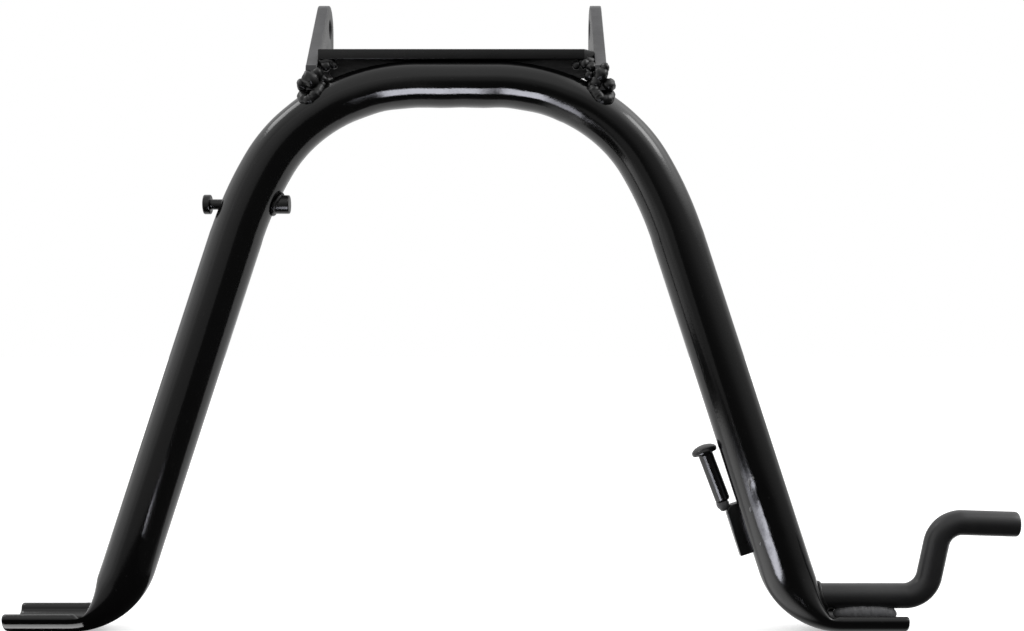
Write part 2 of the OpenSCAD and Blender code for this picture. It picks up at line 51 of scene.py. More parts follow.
# On the left and the right foot: height of the lips, and how far the outer wall is pressed in
LIP_H = {-1: 10.6, 1: 9.4}
WALL_PRESS = {-1: 3.2, 1: 0.8}
LIP_T, FLOOR_T = 4.4, 4.8
EAR_T, EAR_R, HEAD_W, BORE_R = 5.5, 12.0, 143.0, 5.0
EAR_FRONT, EAR_BROW_H, EAR_FOOT_H = 9.0, 270.0, 258.5
PLATE_T, PLATE_FRONT, PLATE_BACK, PLATE_CORNER = 5.0, 6.0, 45.0, 5.0
ROD_R, ROD_H, ROD_RISE, ROD_BEND_R, ROD_STEP, PEDAL_L = 6.0, 16.7, 35.2, 12.5, 1.4, 26.4
ROD_LEAN, PEDAL_DROOP = math.radians(12.3), math.radians(1.8)
PIN_H, PIN_R, NECK_R, HEAD_R, HEAD_T, NECK_L, TAIL_L = 204.9, 4.5, 2.5, 4.7, 3.4, 4.6, 6.4
TUBE_WALL = 2.5
PEG_R, PEG_L, PEG_HEAD_R, PEG_HEAD_T, PEG_OFFSET, PEG_GAP = 3.6, 25.0, 6.3, 4.0, 17.6, 2.6
PEG_LEAN = math.radians(2.8)
TAB_TOP_H, TAB_REACH, TAB_L, TAB_T, TAB_BACK = 64.3, 18.0, 25.2, 6.0, 7.0

# Points derived from them, as in the construction
ARCH_END = math.atan(1 / (math.tan(SPLAY) * SQUASH))
TURN_SIN, TURN_COS = math.sin(SHOULDER_TURN), math.cos(SHOULDER_TURN)
END_X = SHOULDER_R * TURN_SIN + FLANK_R * (math.sin(ARCH_END) - TURN_SIN)
END_Z = SHOULDER_R * (TURN_COS - 1) + FLANK_R * (math.cos(ARCH_END) - TURN_COS)
LEG_TOP_H = CROWN_H + SQUASH * END_Z
LEG_TOP_X = LEG_TRACK / 2 - LEG_TOP_H * math.tan(SPLAY)
CROWN_HALF = LEG_TOP_X - END_X
SHOULDER_C = (CROWN_HALF, CROWN_H / SQUASH - SHOULDER_R)
FLANK_C = (
    SHOULDER_C[0] + (SHOULDER_R - FLANK_R) * TURN_SIN,
    SHOULDER_C[1] + (SHOULDER_R - FLANK_R) * TURN_COS,
)
JOINT_SLOPE = math.atan(SQUASH / math.tan(ARCH_END))
HEEL_TURN = math.pi / 2 - SPLAY
HEEL_X = LEG_TRACK / 2 - TUBE_R / math.cos(SPLAY) + HEEL_R * math.tan(HEEL_TURN / 2)
FOOT_END_X = HEEL_X + FOOT_REACH
HEEL_TOP = HEEL_R + (HEEL_R - TUBE_R) * math.sin(math.pi + SPLAY)
PLATE_Z = CROWN_H + SQUASH * TUBE_R
EAR_IN = HEAD_W / 2 - EAR_T
EAR_MID = HEAD_W / 2 - EAR_T / 2
OUTWARD = Vector((math.cos(SPLAY), 0, math.sin(SPLAY)))
UPWARD = Vector((-math.sin(SPLAY), 0, math.cos(SPLAY)))


def row(p):
    """A point in millimetres from the ground, in the frame's metres."""
    return Vector((p[0] / 1000, (p[1] - PIVOT_BACK) / 1000, (p[2] - PIVOT_H) / 1000))


def ease(t):
    t = max(0.0, min(1.0, t))
    return t * t * (3 - 2 * t)


def mix(a, b, t):
    return a + (b - a) * t


def leg_x(h):
    """Distance from the middle of the leg's centre line at a height."""
    return LEG_TRACK / 2 - h * math.tan(SPLAY)


def shoulder_top(x, y):
    """Height of the tube's upper surface above a point of the crown or a shoulder."""
    reach = SHOULDER_R + math.sqrt(max(TUBE_R * TUBE_R - y * y, 0))
    return CROWN_H + SQUASH * (math.sqrt(max(reach ** 2 - (abs(x) - CROWN_HALF) ** 2, 0)) - SHOULDER_R)


def flank_x(h, r):
    """Distance from the middle of the tube's surface at a height, r out from its centre line."""
    return FLANK_C[0] + math.sqrt((FLANK_R + r) ** 2 - (h / SQUASH - FLANK_C[1]) ** 2)


def fbm(p, scale, seed=0.0):
    """Smooth noise in three sizes."""
    q = Vector((p[0] * scale + seed, p[1] * scale - seed, p[2] * scale + 2 * seed))
    return noise.noise(q) + 0.5 * noise.noise(q * 2.1) + 0.25 * noise.noise(q * 4.3)


# Materials

DUST = (0.16, 0.16, 0.155, 1)


def remap(tree, source, low, high, new_low, new_high, kind="LINEAR"):
    """Maps a value from one range to another."""
    n = tree.nodes.new("ShaderNodeMapRange")
    n.interpolation_type = kind
    ranges = (("From Min", low), ("From Max", high), ("To Min", new_low), ("To Max", new_high))
    for key, value in ranges:
        n.inputs[key].default_value = value
    tree.links.new(source, n.inputs["Value"])
    return n.outputs["Result"]


def paint(name, base, rough, rough_var, grain=0.05, gloss=0.5, lumps=0.0, scuffs=0.0):
    """Black paint over steel: uneven gloss, a fine skin, low lumps, and lighter scuffs."""
    m = bpy.data.materials.new(name)
    m.use_nodes = True
    tree = m.node_tree
    nodes, links = tree.nodes, tree.links
    bsdf = nodes["Principled BSDF"]
    bsdf.inputs["IOR"].default_value = 1.5
    bsdf.inputs["Specular IOR Level"].default_value = gloss
    coord = nodes.new("ShaderNodeTexCoord")

    def cloud(scale, detail, rough_in=0.55):
        n = nodes.new("ShaderNodeTexNoise")
        n.inputs["Scale"].default_value = scale
        n.inputs["Detail"].default_value = detail
        n.inputs["Roughness"].default_value = rough_in
        links.new(coord.outputs["Object"], n.inputs["Vector"])
        return n.outputs["Fac"]

    def blend(factor, colour_b):
        n = nodes.new("ShaderNodeMix")
        n.data_type = "RGBA"
        n.inputs["B"].default_value = colour_b
        links.new(factor, n.inputs["Factor"])
        return n

    def bump(height, strength, depth):
        n = nodes.new("ShaderNodeBump")
        n.inputs["Strength"].default_value = strength
        n.inputs["Distance"].default_value = depth
        links.new(height, n.inputs["Height"])
        return n

    dark = (base * 0.75, base * 0.75, base * 0.78, 1)
    light = (base * 1.3, base * 1.3, base * 1.36, 1)
    colour = blend(remap(tree, cloud(45, 4), 0.3, 0.7, 0, 1), light)
    colour.inputs["A"].default_value = dark
    dusty = blend(remap(tree, cloud(520, 3, 0.6), 0.66, 0.78, 0, 0.10 + scuffs), DUST)
    links.new(colour.outputs["Result"], dusty.inputs["A"])
    links.new(dusty.outputs["Result"], bsdf.inputs["Base Color"])
    haze = remap(tree, cloud(120, 5, 0.6), 0.25, 0.75, rough - rough_var, rough + rough_var)
    links.new(haze, bsdf.inputs["Roughness"])
    surface = bump(cloud(900, 2), grain, 0.0004)
    if lumps:
        body = bump(cloud(210, 3), lumps, 0.0012)
        links.new(surface.outputs["Normal"], body.inputs["Normal"])
        surface = body
    links.new(surface.outputs["Normal"], bsdf.inputs["Normal"])
    return m


TUBE = paint("tube_paint", 0.002, 0.15, 0.02, grain=0.05)
PLATE = paint("plate_paint", 0.005, 0.30, 0.05, grain=0.10)
# The cross plate's underside: no gloss, a painted shade that keeps it black
UNDERSIDE_SHADE = paint("underside_painted_shade", 0.002, 0.8, 0.1, gloss=0.02)
# Lighter ear rims: a painted reflection of the pale surroundings, with a few scuffs
EDGE = paint("edge_reflection_and_scuffs", 0.07, 0.44, 0.08, grain=0.2, scuffs=0.1)
PIN = paint("pin_paint", 0.004, 0.24, 0.05, grain=0.04)
WELD = paint("weld_paint", 0.005, 0.38, 0.08, grain=0.10, lumps=0.25)
LEVER = paint("lever_paint", 0.020, 0.34, 0.04, grain=0.05)
# Light grey weld paint under the lever and at the peg: a painted sheen that lightens these beads
WELD_PAINTED_SHEEN = paint("weld_painted_sheen", 0.15, 0.45, 0.08, grain=0.10, lumps=0.2)
CHIP = paint("chipped_paint", 0.34, 0.5, 0.1, grain=0.3, scuffs=0.2)


# Mesh helpers

def cleaned(mesh, face_material=None):
    """Merges double points, turns the faces outward and gives each face its material."""
    bm = bmesh.new()
    bm.from_mesh(mesh)
    bmesh.ops.remove_doubles(bm, verts=bm.verts, dist=1e-6)
    bmesh.ops.recalc_face_normals(bm, faces=bm.faces)
    if face_material:
        for f in bm.faces:
            f.material_index = face_material(f.normal)
    bm.to_mesh(mesh)
    bm.free()


def placed(name, mesh, nodes, materials, sharp):
    """Puts a mesh in the scene, smooth but for its sharp edges, in place of CAD nodes."""
    obj = bpy.data.objects.new(name, mesh)
    bpy.context.scene.collection.objects.link(obj)
    for m in materials:
        mesh.materials.append(m)
    for p in mesh.polygons:
        p.use_smooth = True
    mesh.set_sharp_from_angle(angle=math.radians(sharp))
    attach(obj, "root")
    if nodes:
        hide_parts(*nodes)


def piece(name, verts, faces, nodes, material, sharp):
    mesh = bpy.data.meshes.new(name)
    mesh.from_pydata([row(v) for v in verts], [], faces)
    cleaned(mesh)
    placed(name, mesh, nodes, [material], sharp)


def grid_faces(rings, n, first=0):
    """Faces between closed rings of n points each, whose first point has the number first."""
    faces = []
    for k in range(rings - 1):
        for i in range(n):
            j = (i + 1) % n
            a, b = first + k * n, first + (k + 1) * n
            faces.append((a + i, a + j, b + j, b + i))
    return faces


def swept(path, radius, n, first_up=(0, 0, 1)):
    """Verts and faces of a bar along a path; radius(k, angle) gives each point's distance."""
    verts, up = [], Vector(first_up)
    last = len(path) - 1
    for k, p in enumerate(path):
        run = (path[min(k + 1, last)] - path[max(k - 1, 0)]).normalized()
        side = run.cross(up).normalized()
        up = side.cross(run).normalized()
        for i in range(n):
            a = 2 * math.pi * i / n
            verts.append(p + radius(k, a) * (math.cos(a) * side + math.sin(a) * up))
    faces = grid_faces(len(path), n)
    verts += [path[0], path[-1]]
    c0, c1, b = len(verts) - 2, len(verts) - 1, last * n
    faces += [(c0, (i + 1) % n, i) for i in range(n)]
    faces += [(c1, b + i, b + (i + 1) % n) for i in range(n)]
    return verts, faces


def lathe(profile, origin, axis, n=56):
    """Revolves (radius, distance along the axis) pairs; the ends lie on the axis."""
    axis = Vector(axis).normalized()
    side = axis.cross(Vector((0, 1, 0))).normalized()
    other = axis.cross(side)
    origin = Vector(origin)
    verts, faces = [origin + axis * profile[0][1]], []
    rings = profile[1:-1]
    for r, z in rings:
        for i in range(n):
            a = 2 * math.pi * i / n
            verts.append(origin + axis * z + r * (math.cos(a) * side + math.sin(a) * other))
    verts.append(origin + axis * profile[-1][1])
    faces += [(0, 1 + (i + 1) % n, 1 + i) for i in range(n)]
    faces += grid_faces(len(rings), n, 1)
    b = 1 + (len(rings) - 1) * n
    faces += [(len(verts) - 1, b + i, b + (i + 1) % n) for i in range(n)]
    return verts, faces


def rounded(points, radius, steps=4):
    """A profile with its inner corners rounded."""
    out = [points[0]]
    for k in range(1, len(points) - 1):
        a, b, c = (Vector(points[k + d]) for d in (-1, 0, 1))
        u, v = a - b, c - b
        r = min(radius, u.length * 0.45, v.length * 0.45)
        p, q = b + u.normalized() * r, b + v.normalized() * r
        for s in range(steps + 1):
            t = s / steps
            out.append(tuple(p * (1 - t) ** 2 + b * 2 * t * (1 - t) + q * t * t))
    out.append(points[-1])
    return out


def smooth_path(points, count):
    """A smooth path through a few given points."""
    pts = [Vector(p) for p in points]
    last = len(pts) - 1
    out = []
    for k in range(count + 1):
        s = k * last / count
        i = min(int(s), last - 1)
        t = s - i
        a, b, c, d = pts[max(i - 1, 0)], pts[i], pts[i + 1], pts[min(i + 2, last)]
        square, cube = 2 * a - 5 * b + 4 * c - d, 3 * (b - c) + d - a
        out.append(b + t * ((c - a) + t * (square + t * cube)) / 2)
    return out


def blob(centre, size, seed, rows=10, n=16, flat=(1.0, 1.0, 1.0)):
    """A small uneven lump."""
    verts, faces = [centre + Vector((0, 0, size * flat[2]))], []
    for k in range(1, rows):
        b = math.pi * k / rows
        for i in range(n):
            a = 2 * math.pi * i / n
            x, y, z = math.sin(b) * math.cos(a), math.sin(b) * math.sin(a), math.cos(b)
            d = Vector((x * flat[0], y * flat[1], z * flat[2]))
            verts.append(centre + d * size * (1 + 0.26 * fbm(centre + d * size, 0.42, seed)))
    verts.append(centre - Vector((0, 0, size * flat[2])))
    faces += [(0, 1 + i, 1 + (i + 1) % n) for i in range(n)]
    faces += grid_faces(rows - 1, n, 1)
    b = 1 + (rows - 2) * n
    faces += [(len(verts) - 1, b + (i + 1) % n, b + i) for i in range(n)]
    return verts, faces


def joined(verts, faces, more_verts, more_faces):
    """Two meshes as one, without joining their points."""
    base = len(verts)
    return verts + more_verts, faces + [tuple(base + i for i in f) for f in more_faces]


def bead(name, points, r, nodes, seed, count=70, ripple=1.5, closed_ends=True, wave=0.09,
         swell=0.11, blobs=(), taper=0.0, material=WELD):
    """A weld bead: overlapping ripples with uneven size along a smooth path."""
    path = smooth_path(points, count)
    lengths = [0.0]
    for a, b in zip(path, path[1:]):
        lengths.append(lengths[-1] + (b - a).length)
    total = lengths[-1]

    def radius(k, a):
        s = lengths[k]
        end = min(s, total - s)
        cap = math.sqrt(max(0.02, 1 - max(0.0, 1 - end / r) ** 2)) if closed_ends else 1
        phase = (s + 0.55 * r * math.cos(a - math.pi / 2)) / ripple
        step = phase - math.floor(phase)
        ripples = wave * ((1 - step) ** 1.5 - 0.33)
        around = path[k] + Vector((math.cos(a), math.sin(a), 0))
        lump = swell * fbm(path[k], 0.35, seed) + 0.6 * swell * fbm(around, 0.9, seed)
        lens = 1 - taper * (1 - math.sin(math.pi * s / total))
        return r * cap * lens * (1 + ripples + lump)

    verts, faces = swept(path, radius, 18)
    for centre, size in blobs:
        verts, faces = joined(verts, faces, *blob(Vector(centre), size, seed))
    piece(name, verts, faces, nodes, material, 60)


def plate(name, outlines, thickness, bevel, transform, nodes, rim):
    """A flat plate with softened edges from closed outlines, the first outside and others holes."""

    def face_material(normal):
        # The cross plate's underside takes the glossless painted shade
        if rim is PLATE and normal.z < -0.9:
            return 2
        return 0 if abs(normal.z) > 0.9 else 1

    curve = bpy.data.curves.new(name, "CURVE")
    curve.dimensions = "2D"
    curve.fill_mode = "BOTH"
    curve.extrude = (thickness / 2 - bevel) / 1000
    curve.bevel_depth = bevel / 1000
    curve.bevel_resolution = 2
    curve.offset = -bevel / 1000
    for outline in outlines:
        s = curve.splines.new("POLY")
        s.points.add(len(outline) - 1)
        for p, q in zip(s.points, outline):
            p.co = (q[0] / 1000, q[1] / 1000, 0, 1)
        s.use_cyclic_u = True
    holder = bpy.data.objects.new(name + "_curve", curve)
    bpy.context.scene.collection.objects.link(holder)
    mesh = bpy.data.meshes.new_from_object(holder.evaluated_get(bpy.context.evaluated_depsgraph_get()))
    bpy.data.objects.remove(holder)
    mesh.name = name
    cleaned(mesh, face_material)
    mesh.transform(transform)
    placed(name, mesh, nodes, [PLATE, rim, UNDERSIDE_SHADE], 40)


# The bent tube

RING = 72
HALF = RING // 2
LIP_STEPS, SHOULDER_STEPS, FLANK_STEPS, LEG_STEPS, HEEL_STEPS = 9, 44, 16, 52, 48
# Heights between which the tube has waves under the crown and dents down the right leg
WAVE_LOW_H, DENT_LOW_H, DENT_HIGH_H = 245, 38, 78


def arch_ring(centre, r, t):
    """Ring of the arch at an angle from the crown, on the right side."""
    radial = Vector((math.sin(t), 0, math.cos(t)))
    middle = Vector((centre[0], 0, centre[1])) + r * radial
    ring = []
    for i in range(RING):
        a = 2 * math.pi * i / RING
        p = middle + TUBE_R * (Vector((0, math.cos(a), 0)) - math.sin(a) * radial)
        ring.append(Vector((p.x, p.y, p.z * SQUASH)))
    return ring


def leg_ring(along, slant):
    """Ring of the leg at a distance down from its top, its plane slanted by an angle."""
    top = Vector((LEG_TOP_X, 0, LEG_TOP_H))
    ring = []
    for i in range(RING):
        a = 2 * math.pi * i / RING
        off = -TUBE_R * math.sin(a)
        drop = along - off * math.tan(slant)
        ring.append(top + off * OUTWARD + Vector((0, TUBE_R * math.cos(a), 0)) - drop * UPWARD)
    return ring


def wall_above(a):
    """How far the round tube's outer wall lies from the heel's outside, at an angle of the heel."""
    return HEEL_R - (HEEL_R - 2 * TUBE_R) / math.cos(a)


def level_above(a, h):
    """The same for a level plane at a height above the ground."""
    return HEEL_R - (HEEL_R - h) / math.cos(HEEL_TURN - a)


def trough_half(i, w, v, floor):
    """A point of the trough's inside on one side, from the outside of the lip to the floor."""
    if i <= LIP_STEPS:
        a = math.pi * i / LIP_STEPS
        return (w - LIP_T / 2 + LIP_T / 2 * math.cos(a), v + LIP_T / 2 * math.sin(a))
    a = math.pi / 2 * (i - LIP_STEPS) / (HALF / 2 - LIP_STEPS)
    return ((w - LIP_T) * math.cos(a), v - (v - floor) * math.sin(a))


def trough_top(i, w, v, floor):
    if i <= HALF // 2:
        x, h = trough_half(i, w, v, floor)
        return (-x, h)
    return trough_half(HALF - i, w, v, floor)


def foot_section(a, side):
    """Across and up: the section at an angle of the heel, round at first and a trough at the end."""
    deg = math.degrees(a)
    crush = ease((deg - 58) / 9)
    width = ease((deg - 15) / 51)
    w = mix(TUBE_R, FOOT_W / 2, width)
    v = mix(TUBE_R, LIP_H[side] - LIP_T / 2, width)
    floor = level_above(a, FLOOR_T)
    top = max(wall_above(a) - WALL_PRESS[side] * ease((deg - 28) / 26), floor)
    out = []
    for i in range(HALF + 1):
        b = math.pi * i / HALF
        out.append((w * math.cos(b), v - v * math.sin(b)))
    for i in range(1, HALF):
        b = math.pi * i / HALF
        x0, h0 = -w * math.cos(b), v + (top - v) * math.sin(b)
        x1, h1 = trough_top(i, w, v, floor)
        out.append((mix(x0, x1, crush), mix(h0, h1, crush)))
    return out


def foot_ring(a, side, out=0.0, inset=0.0):
    """The section set in place; out is along the straight end, inset makes it smaller all round."""
    section = foot_section(a, side)
    if inset:
        n = len(section)
        moved = []
        for i in range(n):
            ax, ah = section[i - 1]
            bx, bh = section[(i + 1) % n]
            nx, nh = bh - ah, ax - bx
            length = math.hypot(nx, nh) or 1.0
            moved.append((section[i][0] + inset * nx / length, section[i][1] + inset * nh / length))
        section = moved
    ray = Vector((math.cos(math.pi + SPLAY + a), 0, math.sin(math.pi + SPLAY + a)))
    return [Vector((HEEL_X + out, x, HEEL_R)) + (HEEL_R - h) * ray for x, h in section]


def half_rings(side):
    """Rings from just past the crown's middle to the end of one foot, on the right side."""
    rings = []
    for x in (3.0, 8.0, 13.0):
        rings.append([p + Vector((x - CROWN_HALF, 0, 0)) for p in arch_ring(SHOULDER_C, SHOULDER_R, 0)])
    for k in range(SHOULDER_STEPS + 1):
        rings.append(arch_ring(SHOULDER_C, SHOULDER_R, SHOULDER_TURN * k / SHOULDER_STEPS))
    for k in range(1, FLANK_STEPS):
        rings.append(arch_ring(FLANK_C, FLANK_R, mix(SHOULDER_TURN, ARCH_END, k / FLANK_STEPS)))
    leg_l = (LEG_TOP_H - HEEL_TOP) / math.cos(SPLAY)
    for k, along in enumerate((0.4, 3.0, 6.0)):
        rings.append(leg_ring(along, (JOINT_SLOPE - SPLAY) * (1 - k / 3)))
    for k in range(1, LEG_STEPS):
        rings.append(leg_ring(mix(6.0, leg_l, k / LEG_STEPS), 0))
    for k in range(HEEL_STEPS + 1):
        rings.append(foot_ring(HEEL_TURN * k / HEEL_STEPS, side))
    for out in (3, 7, 11, 15, 19, 23, 26, 28, 29.2):
        rings.append(foot_ring(HEEL_TURN, side, out))
    for before_end, inset in ((0.4, 0.12), (0.15, 0.3), (0, 0.6)):
        rings.append(foot_ring(HEEL_TURN, side, FOOT_REACH - before_end, inset))
    return rings


def dented(p):
    """Small working marks: waves inside the crown's bend and dents down the right leg's front."""
    move = Vector((0, 0, 0))
    if WAVE_LOW_H < p.z < CROWN_H and p.y < 6:
        wave = 0.10 * math.sin(p.x * 0.33 + 0.6)
        wave += 0.12 * noise.noise(Vector((p.x * 0.09, p.y * 0.2, 3)))
        move.z += wave * ease((CROWN_H - p.z) / 8)
    if p.x > 0 and p.y < 0 and DENT_LOW_H < p.z < DENT_HIGH_H:
        off = (p - Vector((leg_x(p.z), 0, p.z))).dot(OUTWARD)
        strip = math.exp(-((off + 2.5) / 4.5) ** 2)
        strip *= ease((p.z - DENT_LOW_H) / 8)
        strip *= ease((DENT_HIGH_H - p.z) / 8)
        move.y += strip * (0.22 + 0.28 * fbm(p, 0.22, 7))
    return p + move


def hoop():
    """The whole tube from foot to foot, its open ends closed between the lips and the floor."""
    right, left = half_rings(1), half_rings(-1)
    rings = [[Vector((-p.x, p.y, p.z)) for p in r] for r in reversed(left)]
    rings.append([Vector((0, p.y, p.z)) for p in arch_ring(SHOULDER_C, SHOULDER_R, 0)])
    rings += right
    verts = [dented(p) for r in rings for p in r]
    faces = grid_faces(len(rings), RING)
    for first in (0, (len(rings) - 1) * RING):
        for i in range(HALF):
            a, b = first + i, first + i + 1
            c, d = first + RING - i - 1, first + (RING - i) % RING
            faces.append(tuple(dict.fromkeys((a, b, c, d))))
    piece("hoop_tube_pressed", verts, faces, ["hoop_tube"], TUBE, 50)


hoop()


# Pivot head

def ear_outline():
    """Depth and height of the ear's edge, from the foot's front up over the eye and down its back."""
    brow = Vector((-EAR_FRONT, EAR_BROW_H))
    eye = Vector((PIVOT_BACK, PIVOT_H))
    line = eye - brow
    # Just inside the construction's round end, which is made of flats
    arc_r = EAR_R - 0.08
    slope = math.atan2(line.y, line.x) + math.asin(EAR_R / line.length)
    points = [
        (-EAR_FRONT, EAR_FOOT_H), (-EAR_FRONT, EAR_BROW_H - 1.5),
        (-EAR_FRONT + 0.3, EAR_BROW_H + 0.3), (-EAR_FRONT + 1.6, EAR_BROW_H + 1.0),
    ]
    for i in range(29):
        a = mix(slope + math.pi / 2, 0, i / 28)
        points.append((eye.x + arc_r * math.cos(a), eye.y + arc_r * math.sin(a)))
    back = eye.x + EAR_R
    points += [(back, PLATE_Z - 5), (back - 1, PLATE_Z - 6.2), (0.8 * TUBE_R, EAR_FOOT_H)]
    return points


bore = []
for i in range(40):
    a = 2 * math.pi * i / 40
    bore.append((PIVOT_BACK + BORE_R * math.cos(a), PIVOT_H + BORE_R * math.sin(a)))
to_row = Matrix.Translation(row((0, 0, 0)))
# Outline axes (across, up) to the frame's Y and Z, thickness along X
upright = Matrix(((0, 0, 1, 0), (1, 0, 0, 0), (0, 1, 0, 0), (0, 0, 0, 1)))
for side, name in ((-1, "left"), (1, "right")):
    place = to_row @ Matrix.Translation((side * EAR_MID / 1000, 0, 0)) @ upright
    plate(name + "_ear_plate", [ear_outline(), bore], EAR_T, 0.45, place, [name + "_pivot_ear"], EDGE)

corner_x, corner_y = EAR_IN - PLATE_CORNER, PLATE_CORNER - PLATE_FRONT
plate_outline = [
    (-EAR_IN, -PLATE_FRONT), (corner_x, -PLATE_FRONT), (EAR_IN, corner_y),
    (EAR_IN, PLATE_BACK), (-EAR_IN, PLATE_BACK),
]
place = to_row @ Matrix.Translation((0, 0, (PLATE_Z + PLATE_T / 2) / 1000))
plate("cross_plate_cut", [plate_outline], PLATE_T, 0.5, place, ["cross_plate"], PLATE)


# Foot lever

def lever():
    """The lever's bar: along the foot, up its double bend and out to the pedal end."""
    turn = math.pi / 2 - ROD_LEAN
    tangent = ROD_BEND_R * math.tan(turn / 2)
    first = Vector((FOOT_END_X + ROD_STEP, 0, ROD_H + ROD_BEND_R))
    second_x = first.x + 2 * tangent + ROD_RISE * math.tan(ROD_LEAN)
    second = Vector((second_x, 0, ROD_H + ROD_RISE - ROD_BEND_R))

    def on_bend(centre, a):
        return centre + ROD_BEND_R * Vector((math.cos(a), 0, math.sin(a)))

    start = Vector((leg_x(ROD_H), 0, ROD_H))
    bend_1 = [on_bend(first, -math.pi / 2 + turn * k / 24) for k in range(25)]
    bend_2 = [on_bend(second, math.pi / 2 + turn - (turn + PEDAL_DROOP) * k / 26) for k in range(27)]
    pedal = Vector((math.cos(PEDAL_DROOP), 0, -math.sin(PEDAL_DROOP)))
    path = [mix(start, bend_1[0], k / 14) for k in range(14)] + bend_1
    path += [mix(bend_1[-1], bend_2[0], k / 5) for k in range(1, 5)] + bend_2
    path += [bend_2[-1] + mix(0, PEDAL_L - 1.2, k / 9) * pedal for k in range(1, 10)]
    # Rounded end: how far before the end, and the bar's size there
    ends = [(0.7, 0.985), (0.35, 0.955), (0.1, 0.90), (0.0, 0.84)]
    scale = [1.0] * len(path) + [r for d, r in ends]
    path += [bend_2[-1] + (PEDAL_L - d) * pedal for d, r in ends]

    def radius(k, a):
        return ROD_R * scale[k] * (1 + 0.004 * fbm(path[k], 0.12, 5))

    verts, faces = swept(path, radius, 40, (0, 1, 0))
    piece("foot_lever_bar", verts, faces, ["foot_lever"], LEVER, 40)


lever()


# Spring pin

pin_out, pin_in = flank_x(PIN_H, TUBE_R), flank_x(PIN_H, -TUBE_R)
pin_l = HEAD_T + NECK_L + pin_out - pin_in + TAIL_L
neck_end = HEAD_T + NECK_L + TUBE_WALL / math.cos(SPLAY) + PIN_R * math.tan(SPLAY)
profile = [(0, 0)] + rounded([
    (0.4, 0), (HEAD_R, 0), (HEAD_R, HEAD_T), (NECK_R, HEAD_T), (NECK_R, neck_end),
    (PIN_R, neck_end), (PIN_R, pin_l), (0.4, pin_l),
], 0.6) + [(0, pin_l)]
verts, faces = lathe(profile, (-pin_out - NECK_L - HEAD_T, 0, PIN_H), (1, 0, 0))
piece("spring_pin_turned", verts, faces, ["spring_pin"], PIN, 50)


# Stop peg and its tab

def on_leg(x, y, z):
    """A point set out from the right leg at the tab's top: outward, back and up along the leg."""
    return Vector((leg_x(TAB_TOP_H), 0, TAB_TOP_H)) + x * OUTWARD + Vector((0, y, 0)) + z * UPWARD


dome = []
for i in range(15):
    a = math.radians(6 * i)
    dome.append((PEG_HEAD_R * math.cos(a), PEG_L + 1 + (PEG_HEAD_T - 1) * math.sin(a)))
profile = [(0, 0)] + rounded([
    (0.3, 0), (PEG_R - 0.8, 0), (PEG_R, 0.8), (PEG_R, PEG_L - 0.8), (PEG_R + 0.5, PEG_L),
    (PEG_HEAD_R - 0.3, PEG_L),
], 0.5) + dome + [(0, PEG_L + PEG_HEAD_T)]
along_peg = UPWARD * math.cos(PEG_LEAN) - OUTWARD * math.sin(PEG_LEAN)
verts, faces = lathe(profile, on_leg(-PEG_OFFSET, TAB_BACK, PEG_GAP), along_peg)
piece("stop_peg_turned", verts, faces, ["buffer_peg"], PIN, 50)

tab = [(TAB_REACH - TUBE_R / 2, 0), (TAB_REACH - TUBE_R / 2, TAB_L)]
for i in range(11):
    a = math.radians(9 * i)
    tab.append((4 - 4 * math.sin(a), TAB_L - 4 + 4 * math.cos(a)))
tab.append((0, 0))
on_tab = Matrix((
    (OUTWARD.x, UPWARD.x, 0, 0), (0, 0, 1, 0), (OUTWARD.z, UPWARD.z, 0, 0), (0, 0, 0, 1),
))
place = Matrix.Translation(row(on_leg(-TAB_REACH, TAB_BACK, -TAB_L))) @ on_tab
plate("peg_tab_plate", [tab], TAB_T, 0.5, place, ["peg_tab"], PIN)


# Welds

# Middle and size of the lumps on the beads of the plate and the ears, left (-1) and right (1)
PLATE_BLOBS = {
    -1: [((-62.4, -5.0, 270.4), 2.3), ((-58.6, -3.6, 271.3), 1.8)],
    1: [((57.2, -4.2, 270.8), 1.9), ((61.2, -5.6, 271.6), 2.2), ((64.2, -6.6, 269.8), 2.4)],
}
EAR_BLOBS = {
    -1: [((-69.2, -9.0, 263.4), 4.3), ((-73.0, -7.5, 261.2), 3.0), ((-66.0, -8.0, 266.2), 2.9),
         ((-63.6, -6.0, 263.8), 2.6)],
    1: [((68.6, -9.0, 265.8), 3.6), ((72.4, -7.6, 260.8), 3.4), ((66.4, -8.4, 262.0), 3.0),
        ((63.4, -6.4, 265.6), 2.6), ((70.6, -8.8, 269.2), 2.3)],
}
# Path of the bead round an ear's foot: across from the ear's middle, and back
EAR_LOOP = (
    (-4.2, 10), (-4.4, 3), (-4.2, -5), (-3.2, -9.4), (0, -10.8),
    (3.2, -9.4), (4.4, -5), (4.6, 3), (4.2, 10),
)
for side, name in ((-1, "left"), (1, "right")):
    corner = []
    for x, y in ((1, 10), (1.2, 3), (2, -3.2), (8, -3)):
        corner.append((side * (EAR_IN - x), y, PLATE_Z - 1))
    bead(name + "_plate_bead", corner, 2.3, [name + "_plate_weld"], seed=side * 2.0, wave=0.05,
         swell=0.2, blobs=PLATE_BLOBS[side])
    loop = []
    for x, y in EAR_LOOP:
        reach = side * (EAR_MID + x)
        depth = max(-10.8, min(11.0, y))
        loop.append((reach, y, shoulder_top(reach, depth) - 0.3))
    bead(name + "_ear_bead", loop, 2.6, [name + "_ear_weld"], seed=side * 3.0, count=130, wave=0.03,
         swell=0.2, blobs=EAR_BLOBS[side])

behind_crown = [(x, TUBE_R * 0.62, PLATE_Z - 1.7) for x in (-20, -7, 7, 20)]
bead("crown_bead", behind_crown, 2.8, ["crown_weld"], seed=5)


